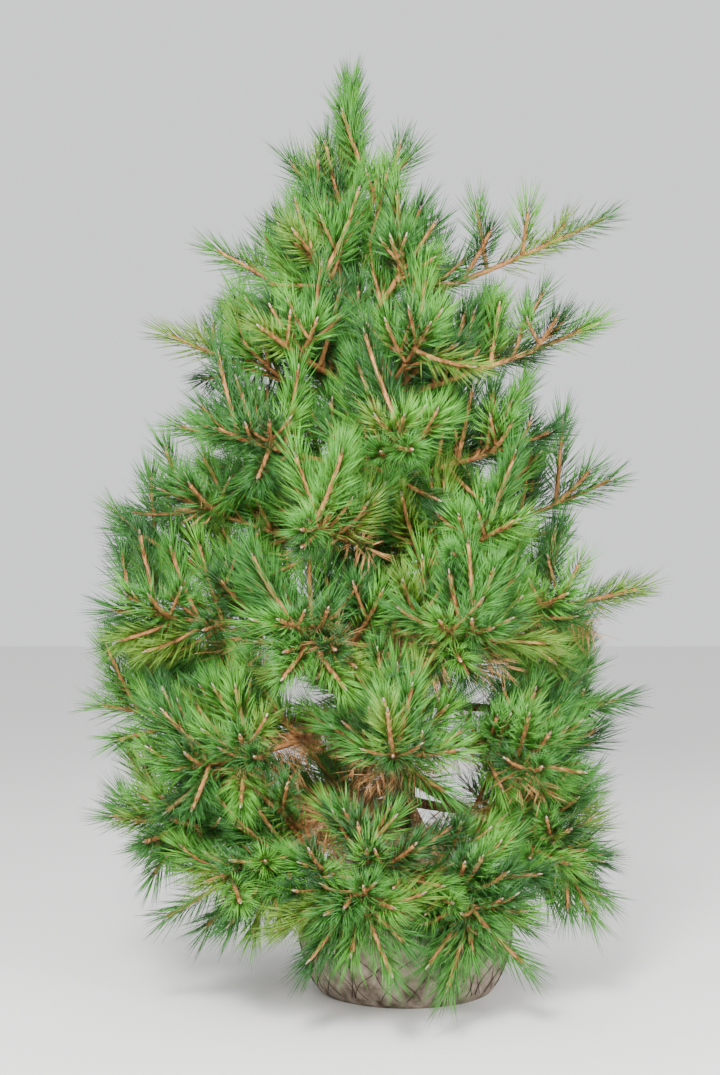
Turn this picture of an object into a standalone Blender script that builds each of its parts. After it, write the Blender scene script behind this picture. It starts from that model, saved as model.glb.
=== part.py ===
"""An austrian pine, grown in a nursery and standing on its wrapped root ball.

Metres, +Z up. The origin is the centre of the ball's flat underside. The trunk stands on the ball and leans a
little to -X. Whorls of limbs leave it, one for each year's growth. The lowest are bare boughs for part of their
length, and every limb ends in a mass of foliage: one stem, with shoots that branch from it by a seeded rule, and
needles that stand out of each shoot.
"""

import math
import random

import bpy
import bmesh
import numpy as np
from mathutils import Matrix, Vector

# The clearance between pieces that touch on the real plant.
GAP = 0.0003

# Root ball: a sack of soil, pressed flat where it stands and where the trunk leaves it.
BALL_HEIGHT = 0.40
BALL_RADIUS = 0.285
BALL_FOOT_RADIUS = 0.225
BALL_SEAT_RADIUS = 0.075
BALL_FULLNESS = 0.8
BALL_SHOULDER = 2.6
BALL_CROWDING = 1.25
BALL_SIDES = 28
BALL_RINGS = 8
BALL_ROOM = 0.01

# Trunk: its foot on the ball, its tip under the leading shoot, and one slow bend.
TRUNK_FOOT = Vector((-0.010, 0.0, BALL_HEIGHT + GAP))
TRUNK_TIP = Vector((-0.142, 0.0, 2.08))
TRUNK_RADIUS = 0.036
TRUNK_TIP_RADIUS = 0.0085
TRUNK_FLARE = 0.020
TRUNK_FLARE_HEIGHT = 0.055
TRUNK_BEND = Vector((0.010, 0.006, 0.0))
TRUNK_SIDES = 12
TRUNK_RINGS = 16
TRUNK_CROWDING = 1.35

# Limbs: the bare boughs, and the stems that run on through the masses.
LIMB_BEND_SHARE = 0.55
WHORL_STAGGER = 0.036
BOUGH_BUTT_RADIUS = 0.0145
BOUGH_TIP_RADIUS = 0.0090
BOUGH_SIDES = 6
BOUGH_RINGS = 5
STEM_RADIUS = 0.0100
STEM_TIP_RADIUS = 0.0085
STEM_BANDS = 2
STEM_FOOT_SHARE = 0.25

# Side shoots: how far they swing off the stem to each side, and how they stand, in degrees.
SWING = 46
UPRIGHT_SWING = 14
UPRIGHT_RISE = 48
TILT = 14
TURN_JITTER = 9
RISE_JITTER = 6
TIP_LIFT = (0.2, 0.6)
SIZE_JITTER = (0.86, 1.12)
END_SHOOT = 0.17
TIP_SHOOT_SHARE = 0.70

# Shoot cores and their needles.
SHOOT_RADIUS = 0.0095
SHOOT_ROOT_RADIUS = 0.0030
SHOOT_TAPER = 0.45
NAKED_ROOT = 0.038
BUD_LENGTH = 0.022
BAND_LENGTH = 0.084
MOST_BANDS = 3
LEADER_BAND_LENGTH = 0.045
LEADER_BANDS = 6
NEEDLE_LENGTH = 0.105
NEEDLE_SWEEP_ROOT = math.radians(58)
NEEDLE_SWEEP_TIP = math.radians(30)
NEEDLE_SWEEP_BUD = math.radians(21)

# Clearances, and the shares of a needle's length where they are tested.
NEEDLE_TESTS = (0.25, 0.4, 0.55, 0.7, 0.85, 1.0)
NEEDLE_CUTS = (1.0, 0.72, 0.5)
MATE_CLEARANCE = 0.011
SHOOT_CLEARANCE = 0.034
SPACE_CLEARANCE = 0.006
BALL_CLEARANCE = 0.012
GROUND_CLEARANCE = 0.012
LOWEST_SHOOT = 0.10
SHOOT_BALL_CLEARANCE = 0.02

# Each whorl: name, height on the trunk, share of each limb that is a bare bough (0: its stem starts on the trunk),
# sag of the limb as a share of its reach, length of its longest side shoots, their rise in degrees, and its limbs.
# A limb: its bearing in degrees from +X towards +Y, the reach of its end bud from the trunk, that bud's height, and
# its number of shoots.
WHORLS = [
    ("low", 0.52, 0.42, 0.10, 0.25, 2, [
        (196, 0.74, 0.47, 8), (222, 0.62, 0.35, 7), (256, 0.57, 0.32, 8), (293, 0.50, 0.25, 8),
        (338, 0.53, 0.36, 8), (38, 0.56, 0.42, 7), (117, 0.58, 0.42, 8)]),
    ("skirt", 0.71, 0.40, 0.09, 0.25, 10, [
        (184, 0.75, 0.73, 8), (216, 0.65, 0.61, 7), (268, 0.53, 0.66, 7),
        (320, 0.57, 0.60, 7), (358, 0.58, 0.74, 8), (102, 0.60, 0.76, 8)]),
    ("broad", 0.92, 0.0, 0.07, 0.25, 14, [
        (170, 0.71, 1.18, 8), (198, 0.71, 0.98, 8), (243, 0.58, 0.97, 7),
        (295, 0.54, 0.95, 7), (345, 0.64, 1.03, 8), (60, 0.60, 1.00, 8)]),
    ("waist", 1.10, 0.0, 0.06, 0.22, 20, [
        (192, 0.57, 1.28, 7), (250, 0.50, 1.20, 6), (308, 0.50, 1.20, 6),
        (5, 0.60, 1.31, 7), (75, 0.54, 1.26, 7), (132, 0.55, 1.24, 7)]),
    ("middle", 1.30, 0.0, 0.05, 0.20, 22, [
        (163, 0.48, 1.47, 6), (222, 0.50, 1.42, 6), (278, 0.46, 1.44, 6),
        (334, 0.48, 1.42, 6), (60, 0.48, 1.48, 6)]),
    ("upper", 1.50, 0.0, 0.04, 0.19, 24, [
        (182, 0.50, 1.68, 6), (236, 0.44, 1.66, 5), (290, 0.43, 1.66, 5),
        (352, 0.59, 1.70, 7), (45, 0.50, 1.74, 6), (112, 0.46, 1.70, 6)]),
    ("high", 1.72, 0.0, 0.03, 0.17, 28, [
        (172, 0.37, 1.91, 5), (243, 0.33, 1.90, 4), (303, 0.34, 1.92, 4),
        (3, 0.64, 1.99, 6), (62, 0.40, 2.04, 4)]),
    ("top", 1.96, 0.0, 0.02, 0.13, 32, [
        (12, 0.15, 2.15, 2), (128, 0.15, 2.12, 2), (205, 0.17, 2.11, 2)]),
]
LEADER_BUD = Vector((-0.142, 0.0, 2.315))
LEADER_FOOT = 0.12
SEED = 20

UP = Vector((0, 0, 1))

MATERIALS = {
    "hessian": ((0.30, 0.22, 0.15), 0.95),
    "bark": ((0.16, 0.085, 0.045), 0.90),
    "limb bark": ((0.34, 0.16, 0.06), 0.85),
    "needles": ((0.075, 0.21, 0.045), 0.55),
}


def make_material(name):
    colour, roughness = MATERIALS[name]
    material = bpy.data.materials.new(name)
    material.use_nodes = True
    shader = material.node_tree.nodes["Principled BSDF"]
    shader.inputs["Base Color"].default_value = (*colour, 1)
    shader.inputs["Roughness"].default_value = roughness
    shader.inputs["Metallic"].default_value = 0
    return material


def add_object(name, mesh, material):
    mesh.materials.append(material)
    obj = bpy.data.objects.new(name, mesh)
    bpy.context.scene.collection.objects.link(obj)
    return obj


# The skeleton


def trunk_point(height):
    """The trunk's centre at this height: a straight lean with one slow bend."""
    share = (height - TRUNK_FOOT.z) / (TRUNK_TIP.z - TRUNK_FOOT.z)
    point = TRUNK_FOOT.lerp(TRUNK_TIP, share)
    return point + TRUNK_BEND * math.sin(math.tau * share)


def trunk_radius(height):
    share = (height - TRUNK_FOOT.z) / (TRUNK_TIP.z - TRUNK_FOOT.z)
    flare = TRUNK_FLARE * math.exp(-(height - TRUNK_FOOT.z) / TRUNK_FLARE_HEIGHT)
    return TRUNK_RADIUS + (TRUNK_TIP_RADIUS - TRUNK_RADIUS) * share + flare


class Arc:
    """A curve of three points: a limb or a shoot, which leaves in one direction and turns towards another."""

    def __init__(self, start, bend, end):
        self.start, self.bend, self.end = start, bend, end

    def at(self, t):
        return self.start * (1 - t) ** 2 + self.bend * 2 * t * (1 - t) + self.end * t * t

    def heading(self, t):
        return ((self.bend - self.start) * (1 - t) + (self.end - self.bend) * t).normalized()


def limb_arc(height, bearing, reach, bud_height, sag):
    start = trunk_point(height)
    turn = math.radians(bearing)
    end = start + Vector((math.cos(turn) * reach, math.sin(turn) * reach, bud_height - height))
    bend = start.lerp(end, LIMB_BEND_SHARE) - UP * sag * reach
    return Arc(start, bend, end)


def shoot_arc(start, heading, length, lift):
    """A shoot leaves along its heading and turns its tip up."""
    bend = start + heading * length * 0.5
    end = bend + (heading + UP * lift).normalized() * length * 0.5
    return Arc(start, bend, end)


def side_heading(limb, t, swing, pitch):
    """The limb's heading at t, swung sideways round its upper side and then raised, both in degrees."""
    ahead = limb.heading(t)
    across = ahead.cross(UP).normalized()
    above = across.cross(ahead)
    turned = Matrix.Rotation(math.radians(swing), 3, above) @ ahead
    return (turned + above * math.tan(math.radians(pitch))).normalized()


def end_shoot(limb, last):
    return Arc(limb.at(last), limb.at((1 + last) / 2), limb.end)


def grow_shoots(limb, bare, spread, rise, count, seed):
    """The shoots of one mass: its end shoot, then in turn from its tip back one to each side and one upright."""
    rng = random.Random(seed)
    length = (limb.end - limb.start).length
    last = 1 - END_SHOOT / max(length, 1.3 * END_SHOOT)
    foot = max(bare, STEM_FOOT_SHARE) + 0.03
    side = rng.choice((-1, 1))
    turns = (
        (side * SWING, rise - TILT),
        (side * -SWING, rise + TILT),
        (side * UPRIGHT_SWING, rise + UPRIGHT_RISE),
        (side * -SWING, rise - TILT / 2),
        (side * SWING, rise + TILT),
        (side * -UPRIGHT_SWING, rise + UPRIGHT_RISE),
    )
    shoots = [end_shoot(limb, last)]
    for number in range(count - 1):
        swing, pitch = turns[number % len(turns)]
        back = number / max(count - 2, 1)
        t = last + (foot - last) * back + rng.uniform(-0.02, 0.01)
        swing += rng.uniform(-TURN_JITTER, TURN_JITTER)
        pitch += rng.uniform(-RISE_JITTER, RISE_JITTER)
        size = spread * (TIP_SHOOT_SHARE + (1 - TIP_SHOOT_SHARE) * back) * rng.uniform(*SIZE_JITTER)
        shoots.append(shoot_arc(limb.at(t), side_heading(limb, t, swing, pitch), size, rng.uniform(*TIP_LIFT)))
    return shoots, last


def samples(arc, first=0.0, steps=6):
    return [arc.at(first + (1 - first) * k / steps) for k in range(steps + 1)]


def ball_room(point):
    """How far a point is outside the root ball, taken as the upright ellipse that its profile follows."""
    level = (point[2] - BALL_HEIGHT / 2) / (BALL_HEIGHT / 2 + BALL_ROOM)
    across = math.hypot(point[0], point[1]) / (BALL_RADIUS + BALL_ROOM)
    return (math.hypot(level, across) - 1) * BALL_RADIUS


def plan_limbs():
    """Every limb with its mass, from the ground up, and the leading shoot last."""
    masses = []
    for whorl, height, bare, sag, spread, rise, limbs in WHORLS:
        for number, (bearing, reach, bud_height, count) in enumerate(limbs, 1):
            level = height + WHORL_STAGGER * (number % 3 - 1)
            limb = limb_arc(level, bearing, reach, bud_height, sag)
            shoots, last = grow_shoots(limb, bare, spread, rise, count, SEED + len(masses) + 1)
            masses.append({"name": f"{whorl}_{number}", "limb": limb, "bare": bare, "last": last, "shoots": shoots})
    leader = Arc(trunk_point(TRUNK_TIP.z), TRUNK_TIP.lerp(LEADER_BUD, 0.5), LEADER_BUD)
    end = end_shoot(leader, LEADER_FOOT)
    masses.append({"name": "leader", "limb": leader, "bare": 0.0, "last": LEADER_FOOT, "shoots": [end]})
    return masses


def plan_tree():
    """The limbs and masses, without the side shoots that would come too near to another mass, the ball or the ground."""
    masses = plan_limbs()
    paths = [samples(mass["limb"], 0.15, 12) for mass in masses]
    owners = np.repeat(np.arange(len(masses)), [len(path) for path in paths])
    places = np.array([point for path in paths for point in path])
    for owner, mass in enumerate(masses):
        kept = mass["shoots"][:1]
        for shoot in mass["shoots"][1:]:
            path = samples(shoot, 0.35)
            far = np.linalg.norm(places[None] - np.array(path)[:, None], axis=2)
            crowded = ((far < SHOOT_CLEARANCE) & (owners != owner)[None]).any()
            sunk = any(p.z < LOWEST_SHOOT or ball_room(p) < SHOOT_BALL_CLEARANCE for p in path)
            if not crowded and not sunk:
                kept.append(shoot)
                owners = np.append(owners, [owner] * len(path))
                places = np.concatenate([places, path])
        mass["shoots"] = kept
    return masses


def axis_cloud(masses):
    """Points along every stem and shoot, with the number of the mass that each belongs to."""
    owners, places = [], []
    for owner, mass in enumerate(masses):
        path = samples(mass["limb"], max(mass["bare"], 0.12), 14)
        for shoot in mass["shoots"]:
            path += samples(shoot, 0.0, 10)
        owners += [owner] * len(path)
        places += path
    return np.array(owners), np.array(places)


def bough_radius(t, bare):
    return BOUGH_BUTT_RADIUS + (BOUGH_TIP_RADIUS - BOUGH_BUTT_RADIUS) * t / bare


def limb_cloud(masses):
    """Points along the trunk and the bare boughs, with the radius there."""
    steps = 84
    rise = (TRUNK_TIP.z - TRUNK_FOOT.z) / (steps - 1)
    places = [trunk_point(TRUNK_FOOT.z + k * rise) for k in range(steps)]
    radii = [trunk_radius(place.z) for place in places]
    for mass in masses:
        if mass["bare"]:
            for k in range(13):
                t = mass["bare"] * k / 12
                places.append(mass["limb"].at(t))
                radii.append(bough_radius(t, mass["bare"]))
    return np.array(places), np.array(radii)


# Meshes


def ring(centre, heading, radius, sides, turn=0.0):
    across = heading.cross(UP if abs(heading.z) < 0.95 else Vector((1, 0, 0))).normalized()
    above = across.cross(heading).normalized()
    angles = [turn + math.tau * k / sides for k in range(sides)]
    return [centre + (across * math.cos(a) + above * math.sin(a)) * radius for a in angles]


def close_outward(bm):
    bmesh.ops.recalc_face_normals(bm, faces=bm.faces)


def tube_mesh(name, path, headings, radii, sides):
    """A closed tube with flat ends, square to the path."""
    bm = bmesh.new()
    rings = [[bm.verts.new(p) for p in ring(c, h, r, sides)] for c, h, r in zip(path, headings, radii)]
    for low, high in zip(rings, rings[1:]):
        for k in range(sides):
            bm.faces.new((low[k], low[(k + 1) % sides], high[(k + 1) % sides], high[k]))
    bm.faces.new(rings[0][::-1])
    bm.faces.new(rings[-1])
    close_outward(bm)
    return finish_mesh(name, bm)


def finish_mesh(name, bm):
    mesh = bpy.data.meshes.new(name)
    bm.to_mesh(mesh)
    bm.free()
    return mesh


def limb_mesh(name, limb, first, final, first_radius, final_radius, sides, rings):
    steps = [first + (final - first) * k / (rings - 1) for k in range(rings)]
    radii = [first_radius + (final_radius - first_radius) * k / (rings - 1) for k in range(rings)]
    return tube_mesh(name, [limb.at(t) for t in steps], [limb.heading(t) for t in steps], radii, sides)


def trunk_mesh(name, grow=0.0):
    """The trunk, or with grow the room that its neighbours leave for it."""
    length = TRUNK_TIP.z - TRUNK_FOOT.z
    heights = [TRUNK_FOOT.z + length * (k / (TRUNK_RINGS - 1)) ** TRUNK_CROWDING for k in range(TRUNK_RINGS)]
    path = [trunk_point(z) for z in heights]
    radii = [trunk_radius(z) + grow for z in heights]
    if grow:
        path[0] -= UP * grow
        path[-1] += UP * grow
    return tube_mesh(name, path, [UP] * TRUNK_RINGS, radii, TRUNK_SIDES)


def ball_mesh(name):
    """The root ball: a foot and a seat that are flat, and a belly between them."""
    bm = bmesh.new()
    rings = []
    for k in range(BALL_RINGS):
        share = k / (BALL_RINGS - 1)
        rest = BALL_FOOT_RADIUS + (BALL_SEAT_RADIUS - BALL_FOOT_RADIUS) * share ** BALL_SHOULDER
        belly = (BALL_RADIUS - BALL_FOOT_RADIUS) * math.sin(math.pi * share) ** BALL_FULLNESS
        height = BALL_HEIGHT * (1 - (1 - share) ** BALL_CROWDING)
        radius = rest + belly * (1.25 - 0.5 * share)
        rings.append([bm.verts.new(p) for p in ring(Vector((0, 0, height)), UP, radius, BALL_SIDES)])
    for low, high in zip(rings, rings[1:]):
        for k in range(BALL_SIDES):
            bm.faces.new((low[k], low[(k + 1) % BALL_SIDES], high[(k + 1) % BALL_SIDES], high[k]))
    bm.faces.new(rings[0][::-1])
    bm.faces.new(rings[-1])
    close_outward(bm)
    return finish_mesh(name, bm)


def nearest(places, points):
    return np.linalg.norm(places[None] - points[:, None], axis=2).min(axis=1)


def needle_reach(owner, root, heading, clouds, mates):
    """How long a needle from this root can be and stay in its mass's own space, clear of its mates, or 0."""
    owners, places, limbs, limb_radii = clouds
    shares = np.array(NEEDLE_TESTS)
    half = SHOOT_RADIUS * (1 - shares)
    for length in [NEEDLE_LENGTH * cut for cut in NEEDLE_CUTS]:
        points = np.array([root + heading * length * share for share in NEEDLE_TESTS])
        own = nearest(places[owners == owner], points)
        other = nearest(places[owners != owner], points)
        in_space = (other - own > 2 * half + SPACE_CLEARANCE).all()
        limb_room = np.linalg.norm(limbs[None] - points[:, None], axis=2) - limb_radii
        off_limbs = (limb_room > half[:, None] + SPACE_CLEARANCE).all()
        off_mates = not len(mates) or nearest(mates, points).min() > MATE_CLEARANCE
        off_ground = points[:, 2].min() > GROUND_CLEARANCE
        off_ball = min(ball_room(point) for point in points) > BALL_CLEARANCE
        if in_space and off_limbs and off_mates and off_ground and off_ball:
            return length
    return 0.0


def shoot_stations(shoot, band_length, most_bands, side_shoot=True):
    """Where a shoot's core has its rings: centre, heading, radius, and the sweep of the needles below that ring."""
    path = samples(shoot)
    length = sum((b - a).length for a, b in zip(path, path[1:]))
    naked = min(0.30, NAKED_ROOT / length) if side_shoot else 0.0
    bands = max(2, min(most_bands, round(length * (1 - naked) / band_length)))
    stations = [(shoot.at(0), shoot.heading(0), SHOOT_ROOT_RADIUS, None)] if side_shoot else []
    for k in range(bands + 1):
        t = naked + (1 - naked) * k / bands
        sweep = NEEDLE_SWEEP_ROOT + (NEEDLE_SWEEP_TIP - NEEDLE_SWEEP_ROOT) * t if k else None
        stations.append((shoot.at(t), shoot.heading(t), SHOOT_RADIUS * (1 - SHOOT_TAPER * t), sweep))
    return stations


def stem_stations(limb, first, last):
    stations = []
    for k in range(STEM_BANDS):
        t = first + (last - first) * k / STEM_BANDS
        radius = STEM_RADIUS + (STEM_TIP_RADIUS - STEM_RADIUS) * k / STEM_BANDS
        stations.append((limb.at(t), limb.heading(t), radius, None))
    return stations


def spray_mesh(name, stations, room_for_needle, rng):
    """A slim three-sided core whose faces are drawn out into needles, swept towards its tip, and a bud at its end."""
    phase = rng.uniform(0, math.tau)
    bm = bmesh.new()
    rings = []
    for k, (centre, heading, radius, sweep) in enumerate(stations):
        corners = ring(centre, heading, radius, 3, phase + k * math.pi / 3)
        rings.append([bm.verts.new(p) for p in corners])
    bm.faces.new(rings[0][::-1])
    tip, ahead, radius, sweep = stations[-1]
    bud = bm.verts.new(tip + ahead * BUD_LENGTH)

    def draw_out(corners, centre, ahead, sweep):
        root = sum((v.co for v in corners), Vector()) / 3
        outward = root - centre
        outward = (outward - ahead * outward.dot(ahead)).normalized()
        heading = (outward * math.sin(sweep) + ahead * math.cos(sweep)).normalized()
        reach = room_for_needle(root, heading) * rng.uniform(0.9, 1.0)
        if reach == 0:
            bm.faces.new(corners)
            return
        apex = bm.verts.new(root + heading * reach)
        for k in range(3):
            bm.faces.new((corners[k], corners[(k + 1) % 3], apex))

    for k, (low, high) in enumerate(zip(rings, rings[1:])):
        centre = stations[k][0].lerp(stations[k + 1][0], 0.5)
        heading, sweep = stations[k + 1][1], stations[k + 1][3]
        for side in range(3):
            after = (side + 1) % 3
            lower = (low[side], low[after], high[side])
            if sweep is None:
                bm.faces.new(lower)
            else:
                draw_out(lower, centre, heading, sweep)
            bm.faces.new((low[after], high[after], high[side]))
    for side in range(3):
        draw_out((rings[-1][side], rings[-1][(side + 1) % 3], bud), tip, ahead, NEEDLE_SWEEP_BUD)
    close_outward(bm)
    return finish_mesh(name, bm)


# Assembly


def apply_modifiers(obj):
    graph = bpy.context.evaluated_depsgraph_get()
    mesh = bpy.data.meshes.new_from_object(obj.evaluated_get(graph))
    obj.modifiers.clear()
    obj.data = mesh


def open_edges(mesh):
    bm = bmesh.new()
    bm.from_mesh(mesh)
    count = sum(len(edge.link_faces) != 2 for edge in bm.edges)
    bm.free()
    return count


def join_and_cut(obj, shoots, trunk_room):
    """Joins the shoots to their stem, and where the stem starts inside the trunk cuts it clear of that."""
    stem = obj.data
    for solver in ("EXACT", "MANIFOLD"):
        obj.data = stem
        union = obj.modifiers.new("join the shoots", "BOOLEAN")
        union.operation = "UNION"
        union.operand_type = "COLLECTION"
        union.collection = shoots
        union.solver = solver
        if trunk_room:
            cut_clear(obj, trunk_room, solver)
        apply_modifiers(obj)
        if not open_edges(obj.data):
            break
    keep_outer_shell(obj.data)


def keep_outer_shell(mesh):
    """Drops what isn't joined to the largest shell: loose scraps, and the walls of hollows that a union sealed."""
    bm = bmesh.new()
    bm.from_mesh(mesh)
    left = set(bm.verts)
    shells = []
    while left:
        front = [left.pop()]
        shell = list(front)
        while front:
            near = {vert for edge in front.pop().link_edges for vert in edge.verts} & left
            left -= near
            front += near
            shell += near
        shells.append(shell)
    shells.sort(key=len)
    bmesh.ops.delete(bm, geom=[vert for shell in shells[:-1] for vert in shell], context="VERTS")
    bm.to_mesh(mesh)
    bm.free()


def cut_clear(obj, trunk_room, solver="EXACT"):
    cut = obj.modifiers.new("clear of the trunk", "BOOLEAN")
    cut.operation = "DIFFERENCE"
    cut.object = trunk_room
    cut.solver = solver


def add_mass(mass, owner, clouds, material, trunk_room):
    """One mass: its stem, which ends in its end shoot, with its side shoots joined on."""
    rng = random.Random(1000 + owner)
    limb, shoots = mass["limb"], mass["shoots"]
    on_tip = mass["bare"] > 0 or mass["name"] == "leader"
    first = mass["bare"] + GAP / (limb.end - limb.start).length if on_tip else 0.0
    stem_points = [limb.at(mass["last"] * k / 24) for k in range(24)]
    placed = []
    meshes = []
    for number, shoot in enumerate(shoots):
        mates = list(placed)
        if number:
            mates += [p for p in stem_points if (p - shoot.start).length > 0.01]
        for other, sibling in enumerate(shoots):
            if other != number:
                mates += [p for p in samples(sibling, 0.1, 10) if (p - shoot.start).length > 0.01]
        mates = np.array(mates)

        def room_for_needle(root, heading):
            length = needle_reach(owner, root, heading, clouds, mates)
            placed.extend(root + heading * length * share for share in NEEDLE_TESTS if length)
            return length

        bands = (LEADER_BAND_LENGTH, LEADER_BANDS) if mass["name"] == "leader" else (BAND_LENGTH, MOST_BANDS)
        stations = shoot_stations(shoot, *bands, side_shoot=number > 0)
        if number == 0:
            stations = stem_stations(limb, first, mass["last"]) + stations
        meshes.append(spray_mesh("spray", stations, room_for_needle, rng))

    obj = add_object("foliage_" + mass["name"], meshes[0], material)
    sides = bpy.data.collections.new("side shoots")
    bpy.context.scene.collection.children.link(sides)
    for mesh in meshes[1:]:
        sides.objects.link(bpy.data.objects.new("side shoot", mesh))
    join_and_cut(obj, sides, None if on_tip else trunk_room)
    for piece in list(sides.objects):
        bpy.data.objects.remove(piece)
    bpy.data.collections.remove(sides)
    return obj


def add_bough(mass, material, trunk_room):
    name = "bough_" + mass["name"]
    limb, end = mass["limb"], mass["bare"]
    mesh = limb_mesh(name, limb, 0.0, end, BOUGH_BUTT_RADIUS, BOUGH_TIP_RADIUS, BOUGH_SIDES, BOUGH_RINGS)
    bough = add_object(name, mesh, material)
    cut_clear(bough, trunk_room)
    apply_modifiers(bough)
    bough.data.shade_smooth()


def main():
    for obj in list(bpy.data.objects):
        bpy.data.objects.remove(obj)
    materials = {name: make_material(name) for name in MATERIALS}

    add_object("root_ball", ball_mesh("root_ball"), materials["hessian"]).data.shade_smooth()
    add_object("trunk", trunk_mesh("trunk"), materials["bark"]).data.shade_smooth()
    trunk_room = add_object("trunk_room", trunk_mesh("trunk_room", GAP), materials["bark"])
    trunk_room.hide_render = True
    trunk_room.display_type = "WIRE"

    masses = plan_tree()
    clouds = (*axis_cloud(masses), *limb_cloud(masses))
    for owner, mass in enumerate(masses):
        if mass["bare"]:
            add_bough(mass, materials["limb bark"], trunk_room)
        add_mass(mass, owner, clouds, materials["needles"], trunk_room)
    bpy.data.objects.remove(trunk_room)
    print("masses", len(masses), "shoots", sum(len(mass["shoots"]) for mass in masses))


if __name__ == "__main__":
    main()
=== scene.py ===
import math
import random

import bpy
import numpy as np
from mathutils import Matrix, Vector, noise


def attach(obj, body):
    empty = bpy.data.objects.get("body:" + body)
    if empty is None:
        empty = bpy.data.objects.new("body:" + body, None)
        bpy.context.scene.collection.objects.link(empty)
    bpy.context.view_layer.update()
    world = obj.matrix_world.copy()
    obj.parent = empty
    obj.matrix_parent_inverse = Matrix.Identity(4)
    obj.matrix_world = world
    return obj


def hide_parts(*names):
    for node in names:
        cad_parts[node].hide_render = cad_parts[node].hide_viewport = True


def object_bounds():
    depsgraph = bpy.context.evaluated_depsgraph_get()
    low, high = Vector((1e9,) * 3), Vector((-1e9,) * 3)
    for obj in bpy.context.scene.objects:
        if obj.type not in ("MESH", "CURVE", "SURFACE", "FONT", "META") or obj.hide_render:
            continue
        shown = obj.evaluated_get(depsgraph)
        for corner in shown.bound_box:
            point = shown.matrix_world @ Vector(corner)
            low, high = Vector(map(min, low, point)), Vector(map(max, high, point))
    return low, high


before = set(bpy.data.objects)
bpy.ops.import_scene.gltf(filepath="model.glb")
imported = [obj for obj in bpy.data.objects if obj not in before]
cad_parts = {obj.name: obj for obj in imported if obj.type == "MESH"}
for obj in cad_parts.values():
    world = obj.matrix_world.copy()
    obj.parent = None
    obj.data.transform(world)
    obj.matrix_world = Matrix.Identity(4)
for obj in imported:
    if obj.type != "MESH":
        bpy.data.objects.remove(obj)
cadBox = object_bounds()
up = Vector((0, 0, 1))
nodeNames = list(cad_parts)
print("frame loaded,", len(nodeNames), "nodes")

# Camera, light and floor

goldenAngle = 2.399963  # the turn from one shoot or needle to the next

viewSet = {
    "place": (-0.117, -4.5, 1.16),  # level with the middle of the crown
    "tilt": 90,
    "lens": 58.17,
}
lightSet = {
    "key": ((-0.8, -3.9, 3.2), 1.1, 520),  # place, size of the panel, power
    "fill": ((2.2, -3.9, 2.4), 1.6, 200),
    "back": ((0.6, 3.0, 3.4), 2.5, 60),
    "aim": (0, 0, 1.2),
    "sky": ((0.97, 0.98, 1.0), 1.15),
}
floorSet = {"half": 14, "colour": (0.80, 0.79, 0.77), "roughness": 0.9}


def addCamera():
    camera = bpy.data.objects.new("camera", bpy.data.cameras.new("camera"))
    camera.location = viewSet["place"]
    camera.rotation_euler = (math.radians(viewSet["tilt"]), 0, 0)
    camera.data.lens = viewSet["lens"]
    bpy.context.scene.collection.objects.link(camera)
    bpy.context.scene.camera = camera


def addLights():
    for name in ("key", "fill", "back"):
        place, size, power = lightSet[name]
        lamp = bpy.data.lights.new(name, "AREA")
        lamp.size = size
        lamp.energy = power
        light = bpy.data.objects.new(name, lamp)
        light.location = place
        towards = Vector(lightSet["aim"]) - Vector(place)
        light.rotation_euler = towards.to_track_quat("-Z", "Y").to_euler()
        bpy.context.scene.collection.objects.link(light)
    world = bpy.data.worlds.new("studio")
    world.use_nodes = True
    colour, strength = lightSet["sky"]
    world.node_tree.nodes["Background"].inputs["Color"].default_value = (*colour, 1)
    world.node_tree.nodes["Background"].inputs["Strength"].default_value = strength
    bpy.context.scene.world = world


def addFloor():
    half = floorSet["half"]
    corners = [(-half, -half, 0), (half, -half, 0), (half, half, 0), (-half, half, 0)]
    mesh = bpy.data.meshes.new("floor")
    mesh.from_pydata(corners, [], [(0, 1, 2, 3)])
    floor = bpy.data.objects.new("floor", mesh)
    material = bpy.data.materials.new("studio floor")
    material.use_nodes = True
    shader = material.node_tree.nodes["Principled BSDF"]
    shader.inputs["Base Color"].default_value = (*floorSet["colour"], 1)
    shader.inputs["Roughness"].default_value = floorSet["roughness"]
    mesh.materials.append(material)
    bpy.context.scene.collection.objects.link(floor)


addCamera()
addLights()
addFloor()
print("camera, lights and floor ready")

# Finishes: each effect is a node group, placed in every material that shows it

effectSet = {
    "cloudBand": (0.32, 0.68),  # the stretch of a pattern that is drawn out from one tone to the other
    "crackBand": (0.02, 0.22),
    "grainBand": (0.15, 0.75),
    "threadBand": (-0.6, 1.0),
    "stainBand": (0.3, 0.7),
    "grainScale": 160.0,
    "grainDetail": 6.0,
    "stainDetail": 5.0,
    "threadWander": 1.6,
    "threadDetail": 3.0,
    "reliefStrength": 0.7,
    "specular": 0.40,
}


def newGroup(name, inputs, outputs):
    group = bpy.data.node_groups.new(name, "ShaderNodeTree")
    for label, kind, value in inputs:
        socket = group.interface.new_socket(label, in_out="INPUT", socket_type=kind)
        socket.default_value = value
    for label, kind in outputs:
        group.interface.new_socket(label, in_out="OUTPUT", socket_type=kind)
    return group, group.nodes.new("NodeGroupInput"), group.nodes.new("NodeGroupOutput")


def objectPlace(group, stretch):
    # object coordinates, drawn out by the stretch
    place = group.nodes.new("ShaderNodeTexCoord")
    mapping = group.nodes.new("ShaderNodeMapping")
    mapping.inputs["Scale"].default_value = stretch
    group.links.new(place.outputs["Object"], mapping.inputs["Vector"])
    return mapping.outputs["Vector"]


def mixTones(group, share, low, high):
    mix = group.nodes.new("ShaderNodeMix")
    mix.data_type = "RGBA"
    group.links.new(share, mix.inputs["Factor"])
    group.links.new(low, mix.inputs["A"])
    group.links.new(high, mix.inputs["B"])
    return mix.outputs["Result"]


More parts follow.
